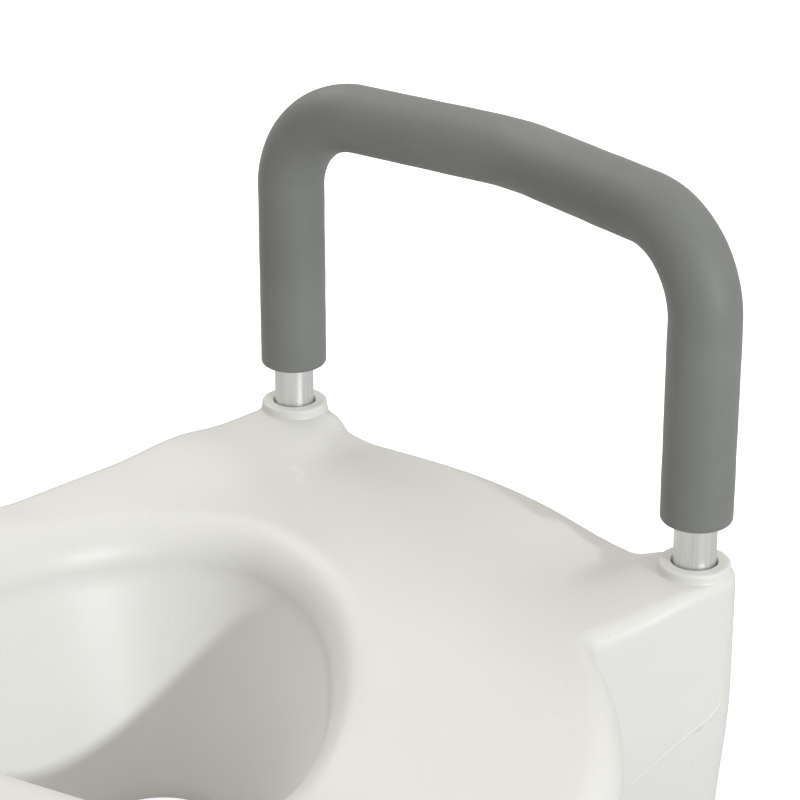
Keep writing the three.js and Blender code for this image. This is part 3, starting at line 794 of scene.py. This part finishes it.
class ArmLine:
    """An arm's centre line from its rear foot to its front foot, as points with their tangents,
    the directions to the inside of a bend, and a weight that is 1 in the two corner bends."""

    def __init__(self, side, foot, spacing=1.2):
        half = atan2(BAR_BULGE, LEG_Y)
        self.spacing = spacing
        foot_rear = np.array([side * LEG_X, LEG_Y, foot])
        corner_rear = np.array([side * LEG_X, LEG_Y, BAR_Z])
        middle = np.array([side * (LEG_X + BAR_BULGE), 0, BAR_Z])
        flip = np.array([1, -1, 1])
        self.points, self.tangents, self.insides, self.bends = [], [], [], []
        pieces = [
            self.bend(foot_rear, corner_rear, middle, BEND_RADIUS, pi / 2),
            self.bend(corner_rear, middle, corner_rear * flip, BOW_RADIUS, 2 * half),
            self.bend(middle, corner_rear * flip, foot_rear * flip, BEND_RADIUS, pi / 2),
        ]
        position = foot_rear
        for arc, is_corner in zip(pieces, (True, False, True)):
            self.straight(position, arc[0][0])
            for point, tangent, inside in arc:
                self.add(point, tangent, inside, 1.0 if is_corner else 0.0)
            position = arc[-1][0]
        self.straight(position, foot_rear * flip, include_end=True)
        self.points = np.array(self.points)
        self.tangents = np.array(self.tangents)
        self.insides = np.array(self.insides)
        self.bends = np.array(self.bends)
        steps = np.linalg.norm(np.diff(self.points, axis=0), axis=1)
        self.lengths = np.concatenate([[0], np.cumsum(steps)])

    def add(self, point, tangent, inside, bend):
        self.points.append(point)
        self.tangents.append(tangent)
        self.insides.append(inside)
        self.bends.append(bend)

    def straight(self, start, end, include_end=False):
        length = np.linalg.norm(end - start)
        tangent = (end - start) / length
        count = max(2, int(length / (2 * self.spacing)))
        stops = np.linspace(0, 1, count + 1)
        if not include_end:
            stops = stops[:-1]
        for t in stops:
            self.add(start + (end - start) * t, tangent, np.zeros(3), 0.0)

    def bend(self, before, corner, after, radius, angle):
        """An arc that turns by angle at a corner: points, tangents and directions inside."""
        inward = (corner - before) / np.linalg.norm(corner - before)
        outward = (after - corner) / np.linalg.norm(after - corner)
        start = corner - inward * radius * tan(angle / 2)
        across = outward - inward * outward.dot(inward)
        across /= np.linalg.norm(across)
        centre = start + across * radius
        count = max(6, int(radius * angle / self.spacing))
        arc = []
        for turn in np.linspace(0, angle, count + 1):
            point = centre - across * radius * cos(turn) + inward * radius * sin(turn)
            tangent = inward * cos(turn) + across * sin(turn)
            arc.append((point, tangent, across * cos(turn) - inward * sin(turn)))
        return arc

    def frames(self):
        """Two directions across the line at every point, the first close to +X."""
        first = np.array([1.0, 0, 0]) - self.tangents * self.tangents[:, :1]
        first /= np.linalg.norm(first, axis=1)[:, None]
        return first, np.cross(self.tangents, first)


def swept_rings(line, radii_of, segments):
    """Rings of a tube along a line. radii_of(index, directions) gives the radius round a ring."""
    first, second = line.frames()
    angles = np.linspace(0, 2 * pi, segments, endpoint=False)
    rings = []
    for i, point in enumerate(line.points):
        directions = np.outer(np.cos(angles), first[i]) + np.outer(np.sin(angles), second[i])
        rings.append(point + directions * radii_of(i, directions)[:, None])
    return rings


def sleeve(name, line, outer_radii, bore, segments, end_radius):
    """A hollow tube along a line, its ends rounded by end_radius."""
    outer = swept_rings(line, outer_radii, segments)
    inner = swept_rings(line, lambda i, d: np.full(segments, bore), segments)
    ends = []
    for index, sign in ((0, -1), (-1, 1)):
        centre = line.points[index]
        spread = outer[index] - centre
        size = np.linalg.norm(spread, axis=1)[:, None]
        cap = []
        for angle in np.radians([22, 45, 68, 90]):
            reach = size - end_radius * (1 - cos(angle))
            out = line.tangents[index] * sign * end_radius * sin(angle)
            cap.append(centre + spread / size * reach + out)
        close = inner[index] + line.tangents[index] * sign * end_radius
        ends.append((cap, close))
    (foot_cap, foot_close), (top_cap, top_close) = ends
    rings = outer + top_cap + [top_close] + inner[::-1] + [foot_close] + foot_cap[::-1]
    return loft(name, rings, cyclic=True)


def arm_tube(side_name, side):
    """The bent tube: one piece from foot to foot."""
    line = ArmLine(side, TUBE_FOOT + TUBE_END_RADIUS, spacing=3)
    tube = sleeve(
        f"arm_{side_name}_aluminium_tube", line, lambda i, d: np.full(len(d), TUBE_RADIUS),
        TUBE_RADIUS - TUBE_WALL, segments=64, end_radius=TUBE_END_RADIUS,
    )
    dress(tube, f"arm_{side_name}_tube", f"arm_{side_name}", ALUMINIUM)


def wave(position, seed, periods):
    """A gentle uneven wave along a line, between -1 and 1."""
    total = 0
    for k, period in enumerate(periods):
        total = total + np.sin(2 * pi * position / period + seed * (k + 1) * 1.7)
    return total / len(periods)


def arm_grip(side_name, side):
    """The foam sleeve: slightly uneven, and creased across the inside of both bends."""
    line = ArmLine(side, GRIP_END + GRIP_END_RADIUS, spacing=0.9)
    firsts, seconds = line.frames()
    seed = 1.0 if side > 0 else 2.3
    weights = blur(line.bends, 6)
    insides = np.stack([blur(line.insides[:, k], 8) for k in range(3)], 1)

    def radii(i, directions):
        s = line.lengths[i]
        around = np.arctan2(directions @ seconds[i], directions @ firsts[i])
        uneven = GRIP_UNEVEN * wave(s + 6 * np.cos(around + 0.7), seed, (61, 37, 23))
        inside = directions @ insides[i]
        gather = weights[i] * smooth(0.25, 0.9, inside)
        phase = s / CREASE_PITCH + 0.35 * np.sin(3 * around + s / 9) + 0.2 * wave(s, seed, (17, 29))
        ridge = np.abs(np.sin(pi * phase))
        depth = CREASE_DEPTH + 0.2 * wave(s + 4 * np.cos(2 * around), seed, (11, 7))
        return GRIP_RADIUS + uneven - gather * depth * (1 - ridge) ** 2

    grip = sleeve(
        f"arm_{side_name}_foam_grip", line, radii, TUBE_RADIUS + GRIP_CLEARANCE,
        segments=96, end_radius=GRIP_END_RADIUS,
    )
    dress(grip, f"arm_{side_name}_grip", f"arm_{side_name}", FOAM, sharp=60)


def leg_insert(side_name, end_name, x, y):
    """The plug in the end of a leg: a flange under the tube, two grooves and a bore for the screw."""
    bottom = SOCKET_FLOOR + 0.3
    flange = TUBE_RADIUS - 0.2
    plug = TUBE_RADIUS - TUBE_WALL - 0.4
    profile = [
        (SCREW_BORE, bottom),
        (flange, bottom),
        (flange, bottom + 2.2),
        (plug, bottom + 2.2),
    ]
    for groove in (12, 22):
        profile += [
            (plug, bottom + groove - 2),
            (plug - 0.8, bottom + groove),
            (plug, bottom + groove + 2),
        ]
    profile += [(plug - 0.6, bottom + 30), (SCREW_BORE, bottom + 30)]
    node = f"arm_{side_name}_{end_name}_insert"
    insert = turned(f"{node}_plug", profile, (x, y), radius=0.3, closed=True, segments=40, steps=2)
    dress(insert, node, f"arm_{side_name}", GREY_PLASTIC)


# ---------------------------------------------------------------- threads and knobs


def thread(pitch, depth, start, end):
    """Radius change of a thread between two heights, running out softly at both ends."""

    def change(angles, radius, height):
        run = smooth(start, start + pitch, height) * (1 - smooth(end - pitch, end, height))
        turn = (height / pitch - angles / (2 * pi)) % 1
        return -depth * run * (1 - np.abs(2 * turn - 1))

    return change


def lobes(count, height, low, high, edge):
    """Radius change of a lobed knob, fading out over its rounded edges."""

    def change(angles, radius, level):
        body = smooth(low, low + edge, level) * (1 - smooth(high - edge, high, level))
        return height * (0.35 + 0.65 * body) * np.cos(count * angles)

    return change


def rod_profile(radius, start, end, chamfer, pitch):
    """Profile of a threaded rod, fine enough along its length to carry the thread."""
    steps = int((end - start - 2 * chamfer) / pitch * 8)
    body = [(radius, h) for h in np.linspace(start + chamfer, end - chamfer, steps + 1)]
    return [(0, start), (radius - chamfer, start), *body, (radius - chamfer, end), (0, end)]


def flat_ring(name, bore, low, high, centre, axis):
    """A washer or collar between the ends of a node's box, its outer radius half the box's width."""
    outer = (high[0] - low[0]) / 2
    level = 2 if axis == "z" else 1
    bottom, top = low[level], high[level]
    edge = min(0.35, 0.3 * (top - bottom))
    profile = [(bore, bottom), (outer, bottom), (outer, top), (bore, top)]
    return turned(name, profile, centre, axis, radius=edge, closed=True, segments=56, steps=3)


def hand_screw(side_name, end_name, x, y):
    """The threaded shank, its lobed knob and the washer under the socket's floor."""
    node = f"hand_screw_{side_name}_{end_name}"
    low, high = box_seat(f"{node}_shank")
    profile = rod_profile(SCREW_RADIUS, low[2], high[2], 1.2, SCREW_PITCH)
    shank_thread = thread(SCREW_PITCH, 0.55, low[2] + 17, high[2] - 1)
    rings = turned_rings(profile, (x, y), segments=36, shape=shank_thread)
    shank = loft(f"{node}_threaded_shank", rings)
    dress(shank, f"{node}_shank", node, STEEL, sharp=60)

    low, high = box_seat(f"{node}_knob")
    bottom, top = low[2], high[2]
    reach = (high[0] - low[0]) / 2 - 1.2
    profile = [
        (0, bottom + 0.8),
        (4.6, bottom + 0.8, 0.6),
        (5.6, bottom, 0.5),
        (reach, bottom, 2.2),
        (reach, top - 3.4, 1.8),
        (reach - 2.6, top - 2.2, 1.2),
        (6.6, top, 0.8),
        (SCREW_BORE, top, 0.3),
        (SCREW_BORE, bottom + 2),
        (0, bottom + 2),
    ]
    outline = rounded(profile, 0.4, steps=5)
    shape = lobes(5, 1.1, bottom, top, 3)

    def outer_only(angles, radius, level):
        return shape(angles, radius, level) * smooth(6.8, reach, radius)

    knob = loft(f"{node}_lobed_knob", turned_rings(outline, (x, y), segments=100, shape=outer_only))
    dress(knob, f"{node}_knob", node, GREY_PLASTIC)

    low, high = box_seat(f"{node}_washer")
    washer = flat_ring(f"{node}_flat_washer", SCREW_BORE, low, high, (x, y), "z")
    dress(washer, f"{node}_washer", "seat", STEEL)


# ---------------------------------------------------------------- front clamp


def clamp_knob():
    """The lobed hand knob and the cap in its face."""
    low, high = box_seat("clamp_knob")
    front, back = low[1], high[1]
    reach = (high[0] - low[0]) / 2 - 1.9
    profile = [
        (0, front + 3),
        (13, front + 3, 0.3),
        (13, front, 0.6),
        (17, front, 1.0),
        (reach - 2, front + 1.4, 3.2),
        (reach, front + 8, 3),
        (reach, back - 9, 3),
        (reach - 3.5, back - 6.5, 2.5),
        (15.5, back - 4.5, 2.0),
        (14, back, 0.8),
        (SPINDLE_BORE, back, 0.3),
        (SPINDLE_BORE, front + 8, 0.3),
        (0, front + 8),
    ]
    outline = rounded(profile, 0.5, steps=7)
    shape = lobes(8, 1.7, front, back - 4, 6)

    def outer_only(angles, radius, level):
        return shape(angles, radius, level) * smooth(16.5, reach - 1, radius)

    rings = turned_rings(outline, CLAMP_CENTRE, "y", segments=192, shape=outer_only)
    knob = loft("clamp_lobed_hand_knob", rings)
    dress(knob, "clamp_knob", "clamp_screw", GREY_PLASTIC)

    low, high = box_seat("clamp_knob_cap")
    rim = (high[0] - low[0]) / 2
    profile = [
        (0, low[1]),
        (rim - 5, low[1] + 0.1, 2),
        (rim - 1.2, low[1] + 0.8, 1),
        (rim, low[1] + 1.9, 0.6),
        (rim, high[1], 0.4),
        (0, high[1]),
    ]
    cap = turned("clamp_knob_domed_cap", profile, CLAMP_CENTRE, "y", radius=0.4, segments=72)
    dress(cap, "clamp_knob_cap", "clamp_screw", PLASTIC)


def clamp_spindle():
    low, high = box_seat("clamp_spindle")
    profile = rod_profile(SPINDLE_RADIUS, low[1], high[1], 1.6, SPINDLE_PITCH / 2)
    shape = thread(SPINDLE_PITCH, 1.0, low[1] + 34, high[1] - 1)
    rings = turned_rings(profile, CLAMP_CENTRE, "y", segments=48, shape=shape)
    spindle = loft("clamp_threaded_spindle", rings)
    dress(spindle, "clamp_spindle", "clamp_screw", STEEL, sharp=60)


def clamp_rings():
    """The bush in the front wall, the thrust washer in front of it and the clip behind it."""
    low, high = box_seat("clamp_bush")
    flange = (high[0] - low[0]) / 2
    barrel = BUSH_HOLE - 0.3
    profile = [
        (SPINDLE_BORE, low[1]),
        (flange, low[1]),
        (flange, low[1] + 1.9),
        (barrel, low[1] + 1.9),
        (barrel, high[1]),
        (SPINDLE_BORE, high[1]),
    ]
    bush = turned(
        "clamp_flanged_bush", profile, CLAMP_CENTRE, "y", radius=0.4, closed=True, segments=56, steps=3
    )
    dress(bush, "clamp_bush", "seat", GREY_PLASTIC)
    for node, body in (("clamp_thrust_washer", "seat"), ("clamp_clip", "clamp_screw")):
        low, high = box_seat(node)
        made = flat_ring(f"{node}_ring", SPINDLE_BORE, low, high, CLAMP_CENTRE, "y")
        dress(made, node, body, STEEL)


def jaw_carriage():
    """The sliding jaw: a carriage round the nut, with a plate below it and two gussets behind."""
    low, high = box_seat("clamp_jaw")
    nut_low, nut_high = box_seat("clamp_nut")
    half = CHANNEL_HALF_WIDTH - 0.5
    front, rear, top = low[1], high[1], high[2]
    plate_front = box_seat("clamp_jaw_pad")[1][1] + 0.3
    plate_top = 20.5
    carriage = block("clamp_jaw_carriage", (-half, front, 18), (half, rear, top), bevel=1.6)
    plate = block(
        "plate", (low[0], plate_front, low[2]), (high[0], plate_front + 10, plate_top),
        bevel=2.2, segments=4,
    )
    gussets = []
    for x in (-27.5, 27.5):
        corner = (x - 1.6, plate_front + 8.7, low[2] + 3)
        gussets.append(block("gusset", corner, (x + 1.6, rear - 2, plate_top - 3)))
    combine(carriage, [plate, *gussets], "UNION")
    pocket = block("pocket", nut_low - 0.3, nut_high + np.array([0.3, 6, 0.3]), bevel=0)
    bore = drill(SPINDLE_BORE + 0.3, front - 5, rear + 5, 0, CLAMP_Z, "y", 48)
    slots = []
    for x in (-16, 16):
        slots.append(block("slot", (x - 2.2, rear - 4, 26), (x + 2.2, rear + 4, top - 6), bevel=1))
    combine(carriage, [pocket, bore, *slots], "DIFFERENCE")
    dress(carriage, "clamp_jaw", "clamp_jaw", PLASTIC, sharp=30)


def jaw_nut():
    low, high = box_seat("clamp_nut")
    nut = block("clamp_square_nut", low, high, bevel=1, segments=2)
    combine(nut, [drill(SPINDLE_BORE, low[1] - 5, high[1] + 5, 0, CLAMP_Z, "y", 48)], "DIFFERENCE")
    dress(nut, "clamp_nut", "clamp_jaw", STEEL, sharp=30)


def jaw_pad():
    """The rubber pad on the jaw, with grooves across its face."""
    low, high = box_seat("clamp_jaw_pad")
    pad = block("clamp_jaw_rubber_pad", low, high, bevel=1)
    grooves = []
    for z in np.arange(low[2] + 3, high[2] - 1.5, 2.6):
        grooves.append(block(
            "groove", (low[0] - 2, low[1] - 2, z - 0.45), (high[0] + 2, low[1] + 0.7, z + 0.45),
            bevel=0.2, segments=1,
        ))
    combine(pad, grooves, "DIFFERENCE")
    dress(pad, "clamp_jaw_pad", "clamp_jaw", RUBBER, sharp=30)


def skirt_pad():
    """The rubber strip inside the front skirt, following its curve."""
    low, high = box_seat("clamp_skirt_pad")
    thickness = 3
    inset = WALL + SKIRT_TUCK + 1
    corners = [(0, low[2]), (thickness, low[2]), (thickness, high[2]), (0, high[2])]
    section = rounded(corners, 0.8, closed=True, steps=3)
    rings = []
    for x in np.linspace(low[0], high[0], 41):
        rings.append([(x, front_wall(x) + inset + depth, z) for depth, z in section])
    pad = loft("clamp_skirt_rubber_pad", capped(rings))
    dress(pad, "clamp_skirt_pad", "seat", RUBBER, sharp=40)


# ---------------------------------------------------------------- rim pads


def rim_pad(side_name, end_name):
    """A non-slip pad under the rest plane, with ring grooves in its face."""
    node = f"rim_pad_{side_name}_{end_name}"
    low, high = box_seat(node)
    centre = (low + high) / 2
    radius = (high[0] - low[0]) / 2
    face, top = low[2], high[2]
    profile = [(0, face)]
    for groove in (4.0, 7.5, 11.0):
        profile += [
            (groove - 0.7, face),
            (groove - 0.4, face + 0.7),
            (groove + 0.4, face + 0.7),
            (groove + 0.7, face),
        ]
    profile += [(radius, face, 0.9), (radius, top, 0.3), (0, top)]
    pad = turned(f"{node}_disc", profile, centre[:2], radius=0.2, segments=64, steps=2)
    dress(pad, node, "seat", RUBBER, sharp=40)


# ---------------------------------------------------------------- stage

# the camera looks down by CAMERA_DOWN degrees, turned by CAMERA_TURN from straight ahead
CAMERA_PLACE = (-774.7, -947.7, 797.7)
CAMERA_DOWN = 23.3
CAMERA_TURN = 45.4052
CAMERA_LENS = 127.3
LIGHT_TARGET = (0, 0, 0.12)
KEY_COLOUR = (0.94, 0.975, 1)
TENT_COLOUR = (1, 0.98, 0.94, 1)
WHITE = (1, 1, 1, 1)
FLOOR_REACH = 12


def add_camera():
    """Looks from the front on the right-hand side, down across the deck to the left arm."""
    data = bpy.data.cameras.new("camera")
    data.sensor_width = 36
    data.lens = CAMERA_LENS
    camera = bpy.data.objects.new("camera", data)
    camera.location = to_frame(CAMERA_PLACE)
    camera.rotation_euler = (radians(90 - CAMERA_DOWN), 0, -radians(CAMERA_TURN))
    bpy.context.scene.collection.objects.link(camera)
    bpy.context.scene.camera = camera


def area_light(name, place, size, power, colour=(1, 1, 1)):
    """A round soft light, in metres and watts, turned to the object."""
    data = bpy.data.lights.new(name, "AREA")
    data.shape = "DISK"
    data.size = size
    data.energy = power
    data.color = colour
    light = bpy.data.objects.new(name, data)
    light.location = place
    direction = Vector(LIGHT_TARGET) - Vector(place)
    light.rotation_euler = direction.to_track_quat("-Z", "Y").to_euler()
    bpy.context.scene.collection.objects.link(light)


def add_world():
    """A studio tent, brighter overhead than at the horizon, and plain white where the camera sees
    past the floor."""
    world = bpy.data.worlds.new("studio")
    bpy.context.scene.world = world
    world.use_nodes = True
    tree = world.node_tree
    background = tree.nodes["Background"]
    coordinates = tree.nodes.new("ShaderNodeTexCoord")
    split = tree.nodes.new("ShaderNodeSeparateXYZ")
    tree.links.new(coordinates.outputs["Generated"], split.inputs["Vector"])
    tent = span(tree, split.outputs["Z"], 0.3, 1.2)
    path = tree.nodes.new("ShaderNodeLightPath")
    choice = tree.nodes.new("ShaderNodeMix")
    choice.inputs["B"].default_value = 1.0
    tree.links.new(path.outputs["Is Camera Ray"], choice.inputs["Factor"])
    tree.links.new(tent, choice.inputs["A"])
    tree.links.new(choice.outputs["Result"], background.inputs["Strength"])
    colour = tree.nodes.new("ShaderNodeMix")
    colour.data_type = "RGBA"
    colour.inputs["A"].default_value = TENT_COLOUR
    colour.inputs["B"].default_value = WHITE
    tree.links.new(path.outputs["Is Camera Ray"], colour.inputs["Factor"])
    tree.links.new(colour.outputs["Result"], background.inputs["Color"])


def add_floor():
    """A pale floor that glows to white where the camera sees it."""
    material, tree, shader = new_material("studio_floor", grey(0.5), 0.9)
    tone = ramp(tree, noise(tree, 3, 3), [(0.3, grey(0.49)), (0.7, grey(0.51))])
    tree.links.new(tone, shader.inputs["Base Color"])
    shader.inputs["Emission Color"].default_value = WHITE
    path = tree.nodes.new("ShaderNodeLightPath")
    glow = span(tree, path.outputs["Is Camera Ray"], 0.05, 0.85)
    tree.links.new(glow, shader.inputs["Emission Strength"])
    mesh = bpy.data.meshes.new("floor")
    corners = [(x * FLOOR_REACH, y * FLOOR_REACH, 0) for x, y in ((-1, -1), (1, -1), (1, 1), (-1, 1))]
    mesh.from_pydata(corners, [], [(0, 1, 2, 3)])
    mesh.materials.append(material)
    floor = add_object("floor", mesh)
    floor.location.z = -0.0005


# ---------------------------------------------------------------- assembly

bpy.context.scene.view_settings.view_transform = "Standard"
add_camera()
add_world()
add_floor()
area_light("key", (-0.48, -4.57, 1.61), size=0.22, power=124, colour=KEY_COLOUR)
area_light("fill", (0.7, 3.2, 2.7), size=2, power=34)

seat_body()
for side_name, side in SIDES.items():
    arm_tube(side_name, side)
    arm_grip(side_name, side)
for side_name, end_name, x, y in each_socket():
    leg_insert(side_name, end_name, x, y)
    hand_screw(side_name, end_name, x, y)
    rim_pad(side_name, end_name)
clamp_knob()
clamp_spindle()
clamp_rings()
jaw_carriage()
jaw_nut()
jaw_pad()
skirt_pad()
